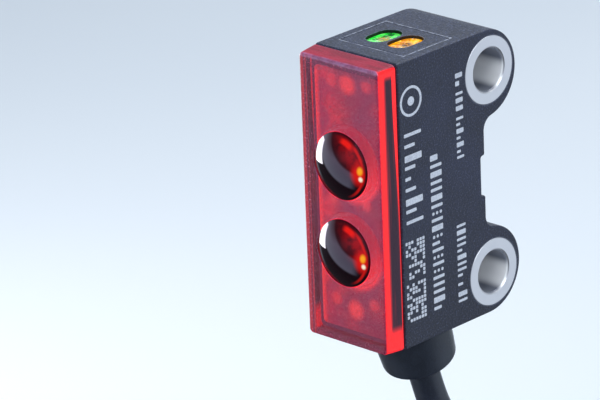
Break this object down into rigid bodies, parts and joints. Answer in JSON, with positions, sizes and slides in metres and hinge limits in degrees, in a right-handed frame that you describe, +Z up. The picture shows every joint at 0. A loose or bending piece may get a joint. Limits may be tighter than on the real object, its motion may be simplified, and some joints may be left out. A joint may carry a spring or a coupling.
{
  "type": "photoelectric sensor",
  "caption": "Slim box-shaped photoelectric sensor with a red front window, stacked domed lenses, bushed fixing ears, top light windows and a short tied cable with a round screw connector.",
  "frame": {"origin": "midway between the two fixing holes, halfway across the width", "axes": "+X out of the marked side, along the fixing holes; -Y out of the optical face; +Z up, away from the cable"},
  "size_m": [0.0098, 0.0276, 0.101],
  "materials": {
    "housing": "fine spark-eroded texture, charcoal navy",
    "window": "translucent red, lightly frosted front, bright edges",
    "seal": "black soft gasket",
    "lens": "polished dark red optical plastic",
    "carrier": "moulded plastic, seen red through the window",
    "black_plastic": "matt black",
    "gold_metal": "gold plated",
    "holder": "turned",
    "chip": "moulded package",
    "board": "green solder mask",
    "ceramic": "ceramic chip",
    "shield": "tinned sheet",
    "flex": "amber film",
    "insert": "fine texture, flush with the top",
    "green_light": "emissive, lit green",
    "amber_light": "emissive, lit amber",
    "green_emitter": "emissive",
    "amber_emitter": "emissive",
    "bush": "turned, satin",
    "boot": "soft black, satin",
    "cable": "smooth black jacket",
    "wires": "brown, white, blue and black cores",
    "tie": "black nylon",
    "grip": "black moulded grip",
    "insulator": "black insulating plastic",
    "ring_seal": "red ring",
    "coupling": "nickel-plated brass, satin"
  },
  "bodies": {
    "sensor": {"housing": "housing", "front_window": "window", "receiver_lens": "lens", "emitter_lens": "lens", "indicator_cover": "insert", "upper_bush": "bush", "lower_bush": "bush", "cable_boot": "boot", "light_baffle": "black_plastic", "receiver_aperture": "black_plastic", "laser_diode": "gold_metal", "laser_leads": "gold_metal", "laser_holder": "holder", "receiver_chip": "chip", "optics_board": "board", "main_board": "board", "control_chip": "chip", "output_transistors": "chip", "capacitors": "ceramic", "board_pins": "gold_metal", "emc_shield": "shield", "indicator_board": "board", "flex_strip": "flex", "green_led": "green_emitter", "amber_led": "amber_emitter", "cable_inner_end": "cable", "cable_clamp": "shield", "inner_wires": "wires", "optics_carrier": "carrier", "green_light_guide": "green_light", "amber_light_guide": "amber_light", "window_seal": "seal", "cable_lead": "cable", "cable_coil": "cable", "cable_tail": "cable", "cable_tie": "tie", "connector_body": "grip", "contact_carrier": "insulator", "contact_pins": "gold_metal"},
    "coupling": {"coupling_sleeve": "coupling", "connector_seal": "ring_seal"}
  },
  "joints": [
    {"name": "coupling_spin", "type": "hinge", "parent": "sensor", "child": "coupling", "pos_m": [0, 0.0055, -0.084], "axis": [0, 0, 1], "continuous": true}
  ]
}
